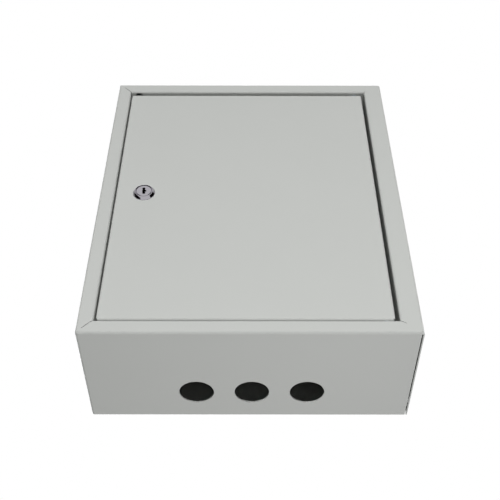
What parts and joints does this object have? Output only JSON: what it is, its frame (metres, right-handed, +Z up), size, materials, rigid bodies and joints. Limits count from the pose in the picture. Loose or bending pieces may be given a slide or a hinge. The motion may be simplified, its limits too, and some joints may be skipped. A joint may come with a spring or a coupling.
{
  "type": "electrical enclosure",
  "caption": "Wall-mounting sheet-steel electrical enclosure with a mitred front frame, an inset hinged door with a cam lock, round cable holes in the bottom wall and a mounting panel inside.",
  "frame": {"origin": "on the outer back face, at the centre of the four wall-fixing holes", "axes": "+X to the right as seen from the front, +Y into the wall, +Z up the height as mounted"},
  "size_m": [0.3, 0.1227, 0.37],
  "materials": {
    "powder_coat": "light-grey powder coat with a fine orange peel, semi-matt",
    "zinc_plate": "bright bluish zinc plate",
    "chrome_plate": "polished chrome plate",
    "galvanised_steel": "galvanised sheet with a faint spangle"
  },
  "bodies": {
    "housing": {"left_bottom_shell": "powder_coat", "top_right_shell": "powder_coat", "back_panel": "powder_coat", "mounting_panel": "galvanised_steel", "panel_studs": "zinc_plate", "panel_washers": "zinc_plate", "panel_nuts": "zinc_plate", "body_earth_stud": "zinc_plate", "body_earth_washer": "zinc_plate", "body_earth_nut": "zinc_plate"},
    "door": {"door_panel": "powder_coat", "upper_hinge_pin": "zinc_plate", "lower_hinge_pin": "zinc_plate", "hinge_washers": "zinc_plate", "hinge_clips": "zinc_plate", "door_earth_stud": "zinc_plate", "door_earth_washer": "zinc_plate", "door_earth_nut": "zinc_plate", "lock_housing": "chrome_plate", "lock_washer": "zinc_plate", "lock_nut": "zinc_plate"},
    "lock": {"lock_plug": "chrome_plate", "lock_cam": "zinc_plate", "cam_washer": "zinc_plate", "cam_screw": "zinc_plate"}
  },
  "joints": [
    {"name": "door_hinge", "type": "hinge", "parent": "housing", "child": "door", "pos_m": [0.1194, -0.1125, 0], "axis": [0, 0, 1], "range_deg": [0, 110]},
    {"name": "lock_turn", "type": "hinge", "parent": "door", "child": "lock", "pos_m": [-0.1064, -0.1195, -0.0015], "axis": [0, 1, 0], "range_deg": [0, 90]}
  ]
}
